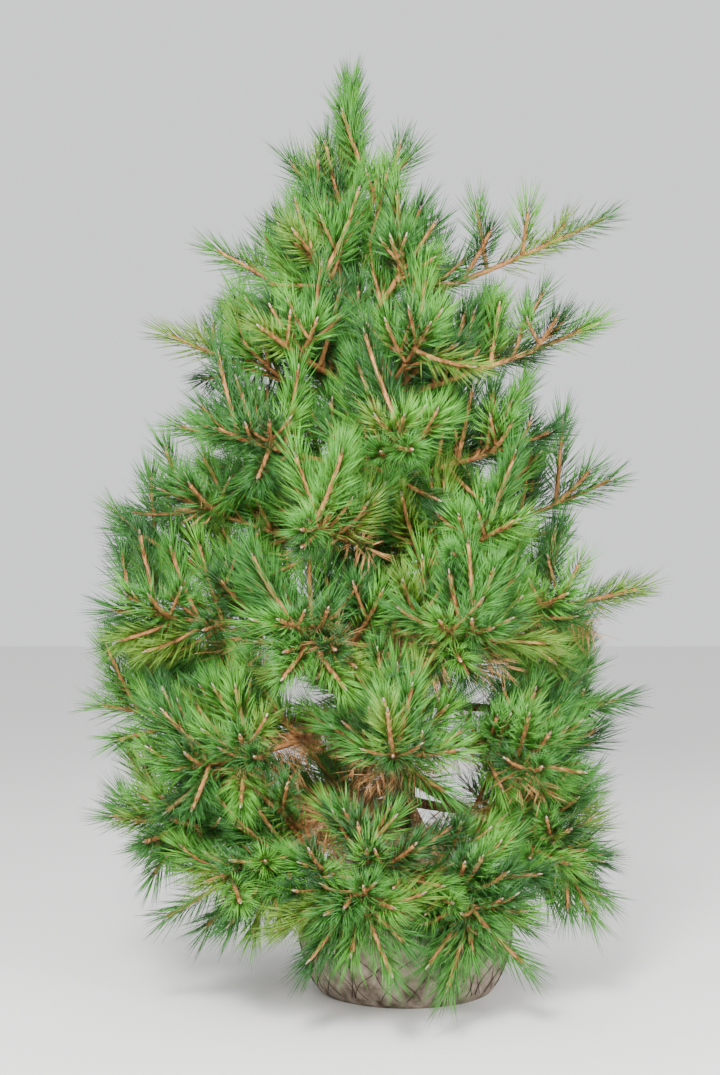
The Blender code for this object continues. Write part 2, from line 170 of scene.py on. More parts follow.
def spreadOut(group, value, low, high):
    ramp = group.nodes.new("ShaderNodeMapRange")
    ramp.inputs["From Min"].default_value = low
    ramp.inputs["From Max"].default_value = high
    group.links.new(value, ramp.inputs["Value"])
    return ramp.outputs["Result"]


toneInputs = [
    ("Low Tone", "NodeSocketColor", (0.1, 0.1, 0.1, 1)),
    ("High Tone", "NodeSocketColor", (0.2, 0.2, 0.2, 1)),
    ("Scale", "NodeSocketFloat", 20.0),
]
finishOutputs = [("Color", "NodeSocketColor"), ("Height", "NodeSocketFloat")]


def mottleGroup(name, stretch, detail):
    # soft cloudy change between two tones
    group, enter, leave = newGroup(name, toneInputs, finishOutputs)
    cloud = group.nodes.new("ShaderNodeTexNoise")
    cloud.inputs["Detail"].default_value = detail
    group.links.new(objectPlace(group, stretch), cloud.inputs["Vector"])
    group.links.new(enter.outputs["Scale"], cloud.inputs["Scale"])
    share = spreadOut(group, cloud.outputs["Fac"], *effectSet["cloudBand"])
    tone = mixTones(group, share, enter.outputs["Low Tone"], enter.outputs["High Tone"])
    group.links.new(tone, leave.inputs["Color"])
    group.links.new(share, leave.inputs["Height"])
    return group


def barkGroup(name, stretch):
    # scales with dark cracks between them
    group, enter, leave = newGroup(name, toneInputs, finishOutputs)
    place = objectPlace(group, stretch)
    plates = group.nodes.new("ShaderNodeTexVoronoi")
    plates.feature = "DISTANCE_TO_EDGE"
    group.links.new(place, plates.inputs["Vector"])
    group.links.new(enter.outputs["Scale"], plates.inputs["Scale"])
    crack = spreadOut(group, plates.outputs["Distance"], *effectSet["crackBand"])
    grain = group.nodes.new("ShaderNodeTexNoise")
    grain.inputs["Scale"].default_value = effectSet["grainScale"]
    grain.inputs["Detail"].default_value = effectSet["grainDetail"]
    group.links.new(place, grain.inputs["Vector"])
    blend = group.nodes.new("ShaderNodeMath")
    blend.operation = "MULTIPLY"
    group.links.new(crack, blend.inputs[0])
    group.links.new(spreadOut(group, grain.outputs["Fac"], *effectSet["grainBand"]), blend.inputs[1])
    tone = mixTones(group, blend.outputs["Value"], enter.outputs["Low Tone"], enter.outputs["High Tone"])
    group.links.new(tone, leave.inputs["Color"])
    group.links.new(blend.outputs["Value"], leave.inputs["Height"])
    return group


def weaveGroup(name, threads):
    # level and upright threads, with soil stains over them
    group, enter, leave = newGroup(name, toneInputs, finishOutputs)
    height = None
    for axis in ("X", "Z"):
        wave = group.nodes.new("ShaderNodeTexWave")
        wave.bands_direction = axis
        wave.inputs["Scale"].default_value = threads
        wave.inputs["Distortion"].default_value = effectSet["threadWander"]
        wave.inputs["Detail Scale"].default_value = effectSet["threadDetail"]
        group.links.new(objectPlace(group, (1, 1, 1)), wave.inputs["Vector"])
        if height is None:
            height = wave.outputs["Fac"]
        else:
            cross = group.nodes.new("ShaderNodeMath")
            cross.operation = "MAXIMUM"
            group.links.new(height, cross.inputs[0])
            group.links.new(wave.outputs["Fac"], cross.inputs[1])
            height = cross.outputs["Value"]
    stain = group.nodes.new("ShaderNodeTexNoise")
    stain.inputs["Detail"].default_value = effectSet["stainDetail"]
    group.links.new(objectPlace(group, (1, 1, 1)), stain.inputs["Vector"])
    group.links.new(enter.outputs["Scale"], stain.inputs["Scale"])
    both = group.nodes.new("ShaderNodeMath")
    both.operation = "MULTIPLY"
    group.links.new(spreadOut(group, height, *effectSet["threadBand"]), both.inputs[0])
    group.links.new(spreadOut(group, stain.outputs["Fac"], *effectSet["stainBand"]), both.inputs[1])
    tone = mixTones(group, both.outputs["Value"], enter.outputs["Low Tone"], enter.outputs["High Tone"])
    group.links.new(tone, leave.inputs["Color"])
    group.links.new(height, leave.inputs["Height"])
    return group


effects = {
    "mottle": mottleGroup("mottle", (1, 1, 1), 3.0),
    "streak": mottleGroup("streak", (1, 1, 0.35), 4.0),
    "plates": barkGroup("bark plates", (1, 1, 0.45)),
    "weave": weaveGroup("weave", 130.0),
}


def makeFinish(name, effect, low, high, scale, rough, bump, metallic=0.0):
    # low and high are the two tones, and bump is the relief's depth in metres
    material = bpy.data.materials.new(name)
    material.use_nodes = True
    tree = material.node_tree
    shader = tree.nodes["Principled BSDF"]
    group = tree.nodes.new("ShaderNodeGroup")
    group.node_tree = effects[effect]
    group.inputs["Low Tone"].default_value = (*low, 1)
    group.inputs["High Tone"].default_value = (*high, 1)
    group.inputs["Scale"].default_value = scale
    tree.links.new(group.outputs["Color"], shader.inputs["Base Color"])
    shader.inputs["Roughness"].default_value = rough
    shader.inputs["Metallic"].default_value = metallic
    shader.inputs["Specular IOR Level"].default_value = effectSet["specular"]
    if bump:
        relief = tree.nodes.new("ShaderNodeBump")
        relief.inputs["Strength"].default_value = effectSet["reliefStrength"]
        relief.inputs["Distance"].default_value = bump
        tree.links.new(group.outputs["Height"], relief.inputs["Height"])
        tree.links.new(relief.outputs["Normal"], shader.inputs["Normal"])
    return material


# The skeleton: the same rule that the solids grow by

skeletonSet = {
    "ballHeight": 0.40, "ballRadius": 0.285, "ballFoot": 0.225, "ballSeat": 0.075, "ballRoom": 0.01,
    "trunkFoot": Vector((-0.010, 0.0, 0.4003)), "trunkTip": Vector((-0.142, 0.0, 2.08)),
    "trunkRadius": 0.036, "trunkTipRadius": 0.0085, "trunkFlare": 0.020, "flareHeight": 0.055,
    "trunkBend": Vector((0.010, 0.006, 0.0)),
    "leaderBud": Vector((-0.142, 0.0, 2.315)), "leaderFoot": 0.12,
    "stagger": 0.036, "limbBend": 0.55, "seed": 20,
    "endShoot": 0.17, "leastLimb": 1.3,  # of the end shoot's length
    "stemFoot": 0.25, "stemGap": 0.03, "placeJitter": (-0.02, 0.01),
    "swing": 46, "uprightSwing": 14, "uprightRise": 48, "tilt": 14, "turnJitter": 9, "riseJitter": 6,
    "tipLift": (0.2, 0.6), "sizeJitter": (0.86, 1.12),
    "shootSize": (0.70, 0.30),  # at the tip, and what is added towards the trunk
    "limbPath": (0.15, 12), "shootPath": 0.35,  # where the paths that keep shoots apart begin
    "shootClearance": 0.034, "ballClearance": 0.02, "lowestShoot": 0.10,
}
# whorl, height, bare share, sag, spread, rise, limbs: bearing, reach, bud height, shoots
whorls = [
    ("low", 0.52, 0.42, 0.10, 0.25, 2, [
        (196, 0.74, 0.47, 8), (222, 0.62, 0.35, 7), (256, 0.57, 0.32, 8), (293, 0.50, 0.25, 8),
        (338, 0.53, 0.36, 8), (38, 0.56, 0.42, 7), (117, 0.58, 0.42, 8)]),
    ("skirt", 0.71, 0.40, 0.09, 0.25, 10, [
        (184, 0.75, 0.73, 8), (216, 0.65, 0.61, 7), (268, 0.53, 0.66, 7),
        (320, 0.57, 0.60, 7), (358, 0.58, 0.74, 8), (102, 0.60, 0.76, 8)]),
    ("broad", 0.92, 0.0, 0.07, 0.25, 14, [
        (170, 0.71, 1.18, 8), (198, 0.71, 0.98, 8), (243, 0.58, 0.97, 7),
        (295, 0.54, 0.95, 7), (345, 0.64, 1.03, 8), (60, 0.60, 1.00, 8)]),
    ("waist", 1.10, 0.0, 0.06, 0.22, 20, [
        (192, 0.57, 1.28, 7), (250, 0.50, 1.20, 6), (308, 0.50, 1.20, 6),
        (5, 0.60, 1.31, 7), (75, 0.54, 1.26, 7), (132, 0.55, 1.24, 7)]),
    ("middle", 1.30, 0.0, 0.05, 0.20, 22, [
        (163, 0.48, 1.47, 6), (222, 0.50, 1.42, 6), (278, 0.46, 1.44, 6),
        (334, 0.48, 1.42, 6), (60, 0.48, 1.48, 6)]),
    ("upper", 1.50, 0.0, 0.04, 0.19, 24, [
        (182, 0.50, 1.68, 6), (236, 0.44, 1.66, 5), (290, 0.43, 1.66, 5),
        (352, 0.59, 1.70, 7), (45, 0.50, 1.74, 6), (112, 0.46, 1.70, 6)]),
    ("high", 1.72, 0.0, 0.03, 0.17, 28, [
        (172, 0.37, 1.91, 5), (243, 0.33, 1.90, 4), (303, 0.34, 1.92, 4),
        (3, 0.64, 1.99, 6), (62, 0.40, 2.04, 4)]),
    ("top", 1.96, 0.0, 0.02, 0.13, 32, [
        (12, 0.15, 2.15, 2), (128, 0.15, 2.12, 2), (205, 0.17, 2.11, 2)]),
]


def trunkPoint(height):
    foot, tip = skeletonSet["trunkFoot"], skeletonSet["trunkTip"]
    share = (height - foot.z) / (tip.z - foot.z)
    return foot.lerp(tip, share) + skeletonSet["trunkBend"] * math.sin(math.tau * share)


def trunkRadius(height):
    foot, tip = skeletonSet["trunkFoot"], skeletonSet["trunkTip"]
    share = (height - foot.z) / (tip.z - foot.z)
    flare = skeletonSet["trunkFlare"] * math.exp(-(height - foot.z) / skeletonSet["flareHeight"])
    return skeletonSet["trunkRadius"] * (1 - share) + skeletonSet["trunkTipRadius"] * share + flare


class Arc:
    def __init__(self, start, bend, end):
        self.start, self.bend, self.end = start, bend, end

    def at(self, t):
        return self.start * (1 - t) ** 2 + self.bend * 2 * t * (1 - t) + self.end * t * t

    def heading(self, t):
        return ((self.bend - self.start) * (1 - t) + (self.end - self.bend) * t).normalized()

    def length(self):
        return (self.end - self.start).length


def limbArc(height, bearing, reach, budHeight, sag):
    start = trunkPoint(height)
    turn = math.radians(bearing)
    end = start + Vector((math.cos(turn) * reach, math.sin(turn) * reach, budHeight - height))
    return Arc(start, start.lerp(end, skeletonSet["limbBend"]) - up * sag * reach, end)


def shootArc(start, heading, length, lift):
    bend = start + heading * length * 0.5
    return Arc(start, bend, bend + (heading + up * lift).normalized() * length * 0.5)


def sideHeading(limb, t, swing, pitch):
    ahead = limb.heading(t)
    across = ahead.cross(up).normalized()
    above = across.cross(ahead)
    turned = Matrix.Rotation(math.radians(swing), 3, above) @ ahead
    return (turned + above * math.tan(math.radians(pitch))).normalized()


def endShoot(limb, last):
    return Arc(limb.at(last), limb.at((1 + last) / 2), limb.end)


def growShoots(limb, bare, spread, rise, count, seed):
    rng = random.Random(seed)
    tip = skeletonSet["endShoot"]
    last = 1 - tip / max(limb.length(), skeletonSet["leastLimb"] * tip)
    foot = max(bare, skeletonSet["stemFoot"]) + skeletonSet["stemGap"]
    side = rng.choice((-1, 1))
    wide, narrow = side * skeletonSet["swing"], side * skeletonSet["uprightSwing"]
    tilt, steep = skeletonSet["tilt"], rise + skeletonSet["uprightRise"]
    turns = (
        (wide, rise - tilt), (-wide, rise + tilt), (narrow, steep),
        (-wide, rise - tilt / 2), (wide, rise + tilt), (-narrow, steep),
    )
    turnJitter, riseJitter = skeletonSet["turnJitter"], skeletonSet["riseJitter"]
    tipSize, rootSize = skeletonSet["shootSize"]
    shoots = [endShoot(limb, last)]
    for number in range(count - 1):
        swing, pitch = turns[number % len(turns)]
        back = number / max(count - 2, 1)
        t = last + (foot - last) * back + rng.uniform(*skeletonSet["placeJitter"])
        swing += rng.uniform(-turnJitter, turnJitter)
        pitch += rng.uniform(-riseJitter, riseJitter)
        size = spread * (tipSize + rootSize * back) * rng.uniform(*skeletonSet["sizeJitter"])
        lift = rng.uniform(*skeletonSet["tipLift"])
        shoots.append(shootArc(limb.at(t), sideHeading(limb, t, swing, pitch), size, lift))
    return shoots, last


def samples(arc, first=0.0, steps=6):
    return [arc.at(first + (1 - first) * k / steps) for k in range(steps + 1)]


def ballRoom(point):
    # how far a point is outside the root ball
    half = skeletonSet["ballHeight"] / 2
    level = (point.z - half) / (half + skeletonSet["ballRoom"])
    across = math.hypot(point.x, point.y) / (skeletonSet["ballRadius"] + skeletonSet["ballRoom"])
    return (math.hypot(level, across) - 1) * skeletonSet["ballRadius"]


def planLimbs():
    masses = []
    for whorl, height, bare, sag, spread, rise, limbs in whorls:
        for number, (bearing, reach, budHeight, count) in enumerate(limbs, 1):
            level = height + skeletonSet["stagger"] * (number % 3 - 1)
            limb = limbArc(level, bearing, reach, budHeight, sag)
            shoots, last = growShoots(limb, bare, spread, rise, count, skeletonSet["seed"] + len(masses) + 1)
            masses.append({"whorl": whorl, "limb": limb, "bare": bare, "last": last, "shoots": shoots})
    tip, bud, foot = skeletonSet["trunkTip"], skeletonSet["leaderBud"], skeletonSet["leaderFoot"]
    leader = Arc(trunkPoint(tip.z), tip.lerp(bud, 0.5), bud)
    shoots = [endShoot(leader, foot)]
    masses.append({"whorl": "leader", "limb": leader, "bare": 0.0, "last": foot, "shoots": shoots})
    return masses


def planTree():
    # side shoots that would come too near to another mass, the ball or the ground are left out
    masses = planLimbs()
    paths = [samples(mass["limb"], *skeletonSet["limbPath"]) for mass in masses]
    owners = np.repeat(np.arange(len(masses)), [len(path) for path in paths])
    places = np.array([point for path in paths for point in path])
    for owner, mass in enumerate(masses):
        kept = mass["shoots"][:1]
        for shoot in mass["shoots"][1:]:
            path = samples(shoot, skeletonSet["shootPath"])
            far = np.linalg.norm(places[None] - np.array(path)[:, None], axis=2)
            crowded = ((far < skeletonSet["shootClearance"]) & (owners != owner)[None]).any()
            low = any(point.z < skeletonSet["lowestShoot"] for point in path)
            sunk = any(ballRoom(point) < skeletonSet["ballClearance"] for point in path)
            if not crowded and not low and not sunk:
                kept.append(shoot)
                owners = np.append(owners, [owner] * len(path))
                places = np.concatenate([places, path])
        mass["shoots"] = kept
    return masses


# How far from the trunk the crown reaches: wider to the left, with a shoulder at the upper right
reachSet = {
    "widest": 0.62, "leftBulge": 0.11,
    "topHeight": 2.12, "topReach": 0.17, "slope": 0.58,
    "shoulder": 0.20, "shoulderHeight": 1.68, "shoulderDepth": 0.15,
    "needleTip": 0.085, "lowest": 0.12, "ballGap": 0.05, "least": 0.01,
}


def crownReach(height, right):
    # right is 1 towards +X and -1 towards -X
    slope = reachSet["topReach"] + (reachSet["topHeight"] - height) * reachSet["slope"]
    level = (height - reachSet["shoulderHeight"]) / reachSet["shoulderDepth"]
    reach = min(reachSet["widest"] - reachSet["leftBulge"] * right, slope)
    return reach + reachSet["shoulder"] * max(right, 0) * math.exp(-level * level)


def insideReach(arc):
    tip = arc.end + arc.heading(1) * reachSet["needleTip"]
    low, high = cadBox
    inBox = all(low[k] < tip[k] < high[k] for k in range(3))
    axis = trunkPoint(min(arc.end.z, skeletonSet["trunkTip"].z))
    across = math.hypot(arc.end.x - axis.x, arc.end.y - axis.y)
    right = (arc.end.x - axis.x) / max(across, reachSet["least"])
    narrow = across < crownReach(arc.end.z, right)
    clear = arc.end.z > reachSet["lowest"] and ballRoom(arc.end) > reachSet["ballGap"]
    return inBox and narrow and clear


# Finer side twigs, one to each side of a shoot
twigSet = {
    "seed": 7, "chance": 0.86, "place": (0.22, 0.58), "swing": (30, 52), "pitch": (-6, 26),
    "share": (0.52, 0.80), "longest": 0.17, "lift": (0.2, 0.7),
    "steepest": 0.93,  # no side twigs stand on a steeper shoot
}


def growTwigs(masses):
    rng = random.Random(twigSet["seed"])
    for mass in masses:
        mass["twigs"] = []
        for shoot in mass["shoots"]:
            for side in (-1, 1):
                t = rng.uniform(*twigSet["place"])
                swing = side * rng.uniform(*twigSet["swing"])
                pitch = rng.uniform(*twigSet["pitch"])
                size = min(shoot.length() * rng.uniform(*twigSet["share"]), twigSet["longest"])
                lift = rng.uniform(*twigSet["lift"])
                chance = rng.random()
                if shoot.heading(t).z > twigSet["steepest"] or chance > twigSet["chance"]:
                    continue
                twig = shootArc(shoot.at(t), sideHeading(shoot, t, swing, pitch), size, lift)
                if insideReach(twig):
                    mass["twigs"].append(twig)


# Fill shoots from the limbs, above and below each tier, and steep ones from the trunk: they close the crown.
fillSet = {
    "seed": 5,
    "count": {"low": 21, "skirt": 18, "broad": 18, "waist": 9, "middle": 9, "upper": 9, "high": 8, "top": 4},
    "stretch": (0.28, 0.94), "length": (0.15, 0.24), "swing": 62,
    "rising": (24, 66), "risingLift": (0.3, 0.8),
    "hanging": (-46, -8), "hangingLift": (0.05, 0.35),
    "hangingShare": {"low": 0.80, "skirt": 0.25, "broad": 0.60}, "otherHangingShare": 0.36,
    "behind": 0.15, "backShare": 2.1, "backSwing": 86,
}
steepSet = {
    "count": 54, "heights": (0.82, 1.99), "length": (0.22, 0.36), "pitch": (34, 62), "turn": 0.3, "lift": 0.3,
}


def fillLimbs(masses, rng):
    first, final = fillSet["stretch"]
    for mass in masses:
        mass["fill"] = []
        hangingShare = fillSet["hangingShare"].get(mass["whorl"], fillSet["otherHangingShare"])
        count, swing = fillSet["count"].get(mass["whorl"], 0), fillSet["swing"]
        if mass["limb"].end.y > fillSet["behind"]:
            count, swing = round(count * fillSet["backShare"]), fillSet["backSwing"]
        for _ in range(count):
            t = rng.uniform(max(mass["bare"], first), final)
            way = "hanging" if rng.random() < hangingShare else "rising"
            pitch = rng.uniform(*fillSet[way])
            heading = sideHeading(mass["limb"], t, rng.uniform(-swing, swing), pitch)
            size = rng.uniform(*fillSet["length"])
            lift = rng.uniform(*fillSet[way + "Lift"])
            shoot = shootArc(mass["limb"].at(t), heading, size, lift)
            if insideReach(shoot):
                mass["fill"].append(shoot)


def fillTrunk(rng):
    low, high = steepSet["heights"]
    steep = []
    for number in range(steepSet["count"]):
        share = number / (steepSet["count"] - 1)
        bearing = number * goldenAngle + rng.uniform(-steepSet["turn"], steepSet["turn"])
        rise = math.tan(math.radians(rng.uniform(*steepSet["pitch"])))
        heading = Vector((math.cos(bearing), math.sin(bearing), rise)).normalized()
        start = trunkPoint(low + (high - low) * share)
        shoot = shootArc(start, heading, rng.uniform(*steepSet["length"]), steepSet["lift"])
        if insideReach(shoot):
            steep.append(shoot)
    return steep


def fillCrown(masses):
    rng = random.Random(fillSet["seed"])
    fillLimbs(masses, rng)
    masses[-1]["fill"] += fillTrunk(rng)


masses = planTree()
growTwigs(masses)
fillCrown(masses)
allShoots = [shoot for mass in masses for shoot in mass["shoots"]]
allTwigs = [twig for mass in masses for twig in mass["twigs"] + mass["fill"]]
print("skeleton grown,", len(masses), "masses,", len(allShoots), "shoots,", len(allTwigs), "twigs")

# Meshes from arrays


def frameAcross(heading):
    upright = 0.95  # a steeper heading is crossed with X instead
    across = heading.cross(up if abs(heading.z) < upright else Vector((1, 0, 0))).normalized()
    return across, across.cross(heading).normalized()


class Builder:
    # gathers closed shells for one joined mesh
    def __init__(self):
        self.points, self.faces = [], []

    def tube(self, path, headings, radii, sides, relief=None):
        first = len(self.points)
        for ring, (centre, heading, radius) in enumerate(zip(path, headings, radii)):
            across, above = frameAcross(heading)
            for k in range(sides):
                angle = math.tau * k / sides
                out = across * math.cos(angle) + above * math.sin(angle)
                grown = radius + (relief(centre + out * radius, ring) if relief else 0.0)
                self.points.append(centre + out * grown)
        for ring in range(len(path) - 1):
            for k in range(sides):
                low, after = first + ring * sides, (k + 1) % sides
                self.faces.append((low + k, low + k + sides, low + after + sides, low + after))
        self.faces.append(tuple(first + k for k in range(sides)))
        self.faces.append(tuple(first + (len(path) - 1) * sides + k for k in reversed(range(sides))))

    def finish(self, name, material):
        mesh = bpy.data.meshes.new(name)
        mesh.from_pydata(self.points, [], self.faces)
        mesh.update()
        mesh.shade_smooth()
        mesh.materials.append(material)
        piece = bpy.data.objects.new(name, mesh)
        bpy.context.scene.collection.objects.link(piece)
        return piece


# Trunk and boughs, with the bark's relief

barkSet = {
    "rings": 130, "sides": 30, "crowding": 1.1, "size": 55, "relief": 0.0035,
    "collar": 0.004, "collarDepth": 0.03,  # the swelling at each whorl
    "stretch": 0.35, "fineSize": 2.3, "fineShare": 0.5,
    "finish": ("plates", (0.045, 0.028, 0.018), (0.26, 0.165, 0.105), 60, 0.9, 0.004),
}
boughSet = {
    "rings": 30, "sides": 12, "radius": (0.0140, 0.0092), "size": 120, "relief": 0.0014,
    "foot": 0.02, "overlap": 0.02, "flare": 0.005, "flareFade": 14,
    "finish": ("plates", (0.10, 0.048, 0.020), (0.46, 0.26, 0.13), 110, 0.85, 0.002),
}


def ridges(point, size, depth):
    # scales drawn out along the trunk
    spot = Vector((point.x * size, point.y * size, point.z * size * barkSet["stretch"]))
    fine = barkSet["fineShare"] * abs(noise.noise(spot * barkSet["fineSize"]))
    return depth * (0.5 - abs(noise.noise(spot)) - fine)


def makeTrunk():
    foot, tip = skeletonSet["trunkFoot"].z, skeletonSet["trunkTip"].z
    shares = [(k / (barkSet["rings"] - 1)) ** barkSet["crowding"] for k in range(barkSet["rings"])]
    heights = [foot + (tip - foot) * share for share in shares]
    levels = [whorl[1] for whorl in whorls]

    def relief(point, ring):
        collar = sum(math.exp(-((heights[ring] - level) / barkSet["collarDepth"]) ** 2) for level in levels)
        return ridges(point, barkSet["size"], barkSet["relief"]) + barkSet["collar"] * collar

    trunk = Builder()
    radii = [trunkRadius(z) for z in heights]
    trunk.tube([trunkPoint(z) for z in heights], [up] * len(heights), radii, barkSet["sides"], relief)
    piece = trunk.finish("trunkBark", makeFinish("trunk bark", *barkSet["finish"]))
    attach(piece, "root")
    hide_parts("trunk")


def makeBoughs():
    def relief(point, ring):
        return ridges(point, boughSet["size"], boughSet["relief"])

    boughs = Builder()
    butt, tip = boughSet["radius"]
    shares = [k / (boughSet["rings"] - 1) for k in range(boughSet["rings"])]
    flares = [boughSet["flare"] * math.exp(-share * boughSet["flareFade"]) for share in shares]
    radii = [(butt + (tip - butt) * share) + flare for share, flare in zip(shares, flares)]
    for mass in masses:
        if mass["bare"]:
            limb, reach = mass["limb"], mass["bare"] + boughSet["overlap"]
            ts = [boughSet["foot"] + reach * share for share in shares]
            path, headings = [limb.at(t) for t in ts], [limb.heading(t) for t in ts]
            boughs.tube(path, headings, radii, boughSet["sides"], relief)
    piece = boughs.finish("boughBark", makeFinish("bough bark", *boughSet["finish"]))
    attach(piece, "root")
    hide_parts(*[name for name in nodeNames if name.startswith("bough_")])


makeTrunk()
makeBoughs()
print("trunk and boughs made")

# Twigs and buds

stemSet = {
    "limb": ((0.0092, 0.0058), 26),  # radius at the foot and the tip, and steps along it
    "shoot": ((0.0058, 0.0046), 12),
    "fill": ((0.0058, 0.0046), 9),
    "twig": ((0.0046, 0.0036), 7),
    "sides": 6, "firstShare": 0.02,
    "pegs": 0.0009, "grain": 0.4, "grainSize": 300,
    "finish": ("streak", (0.20, 0.075, 0.022), (0.52, 0.25, 0.085), 70, 0.7, 0.001),
}
budSet = {
    "length": 0.018, "radius": 0.0037, "sides": 6,
    "profile": ((0, 0.7), (0.3, 1.0), (0.6, 0.72), (0.9, 0.25)),  # place along it, and width
    "finish": ("mottle", (0.34, 0.20, 0.11), (0.62, 0.50, 0.37), 180, 0.5, 0.0),
}


def stemRelief(point, ring):
    # rings of pegs where old needles stood, and a fine grain
    grain = stemSet["grain"] * stemSet["pegs"] * noise.noise(point * stemSet["grainSize"])
    return stemSet["pegs"] * (ring % 2) + grain


def addStem(builder, arc, kind, first=0, final=1):
    (foot, tip), steps = stemSet[kind]
    ts = [first + (final - first) * k / steps for k in range(steps + 1)]
    widths = [foot + (tip - foot) * k / steps for k in range(steps + 1)]
    path, headings = [arc.at(t) for t in ts], [arc.heading(t) for t in ts]
    builder.tube(path, headings, widths, stemSet["sides"], stemRelief)


def makeTwigs():
    twigs = Builder()
    for mass in masses:
        addStem(twigs, mass["limb"], "limb", max(mass["bare"], stemSet["firstShare"]), mass["last"])
        for shoot in mass["shoots"]:
            addStem(twigs, shoot, "shoot")
        for shoot in mass["fill"]:
            addStem(twigs, shoot, "fill")
        for twig in mass["twigs"]:
            addStem(twigs, twig, "twig")
    piece = twigs.finish("twigs", makeFinish("shoot bark", *stemSet["finish"]))
    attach(piece, "root")
    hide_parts(*[name for name in nodeNames if name.startswith("foliage_")])


def makeBuds():
    buds = Builder()
    for arc in allShoots + allTwigs:
        ahead = arc.heading(1)
        path = [arc.end + ahead * budSet["length"] * along for along, wide in budSet["profile"]]
        radii = [budSet["radius"] * wide for along, wide in budSet["profile"]]
        buds.tube(path, [ahead] * len(path), radii, budSet["sides"])
    piece = buds.finish("buds", makeFinish("bud resin", *budSet["finish"]))
    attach(piece, "root")


makeTwigs()
makeBuds()
print("twigs and buds made")

# Needles: pairs of them set round each shoot by geometry nodes

needleSet = {
    "length": 0.108, "radius": 0.00120, "widest": 0.42, "part": 0.045, "bend": 0.05,
    "shorter": 0.95,  # the second needle's length as a share of the first's
    "spacing": 0.00218, "naked": 0.020, "sweeps": (54, 21), "jitter": 9, "turn": 0.5,
    "sizeJitter": (0.82, 1.06), "seed": 3, "lineSteps": 8, "leaderLayers": 3,
    "oldestShare": 0.50,  # limbs keep the needles of earlier years from here on
    "scale": (0.90, 1.06), "twigScale": 0.92, "toneSize": 14, "roughness": 0.42,
}
# tint, low tone, high tone, share of the shoots
tints = [
    ("Fresh", (0.070, 0.245, 0.020), (0.125, 0.370, 0.034), 0.145),
    ("Bright", (0.050, 0.205, 0.018), (0.092, 0.310, 0.030), 0.150),
    ("Leaf", (0.034, 0.160, 0.016), (0.068, 0.250, 0.027), 0.150),
    ("Grass", (0.025, 0.125, 0.015), (0.051, 0.198, 0.025), 0.150),
    ("Deep", (0.016, 0.088, 0.012), (0.035, 0.147, 0.021), 0.150),
    ("Dark", (0.008, 0.050, 0.008), (0.020, 0.092, 0.014), 0.150),
    ("Olive", (0.092, 0.195, 0.018), (0.165, 0.295, 0.030), 0.105),
]
deadSet = {
    "finish": ("mottle", (0.34, 0.135, 0.040), (0.64, 0.36, 0.14), 22, 0.75, 0.0),
    "seed": 11, "spacing": 0.0042, "sweeps": (68, 40),
    "tufts": {"low": 13, "skirt": 10, "broad": 9, "waist": 3},  # on each limb of a whorl
    "stretch": (0.14, 0.70), "swing": 70, "pitch": (-40, 20), "length": (0.08, 0.15), "droop": (0.2, 0.9),
    "ballGap": 0.03, "scale": (0.7, 0.95),
    "fallen": 34, "fallenPlace": (0.09, 0.22), "fallenLength": 0.09, "fallenScale": 0.7,
    "lift": (0.012, 0.014), "bow": 0.01,  # how high a fallen spray's two ends and its middle lie
    "rimDrop": 0.10, "rimRound": 3,
}


def needlePair():
    # two needles from one sheath, each a slim three-sided spindle that bends towards the shoot's tip
    length, radius, widest = needleSet["length"], needleSet["radius"], needleSet["widest"]
    points, faces = [], []
    for side, share in ((-1, 1.0), (1, needleSet["shorter"])):
        first = len(points)
        points.append((0, side * radius * 0.5, 0))
        for k in range(3):
            angle = math.tau * k / 3
            x = radius * math.cos(angle) + needleSet["bend"] * length * widest ** 2
            y = radius * math.sin(angle) + side * needleSet["part"] * length * widest
            points.append((x, y, widest * length * share))
        points.append((needleSet["bend"] * length, side * needleSet["part"] * length, length * share))
        for k in range(3):
            here, after = first + 1 + k, first + 1 + (k + 1) % 3
            faces.append((first, after, here))
            faces.append((here, after, first + 4))
    mesh = bpy.data.meshes.new("needle pair")
    mesh.from_pydata(points, [], faces)
    mesh.shade_smooth()
    pair = bpy.data.objects.new("needlePair", mesh)
    bpy.context.scene.collection.objects.link(pair)
    return pair


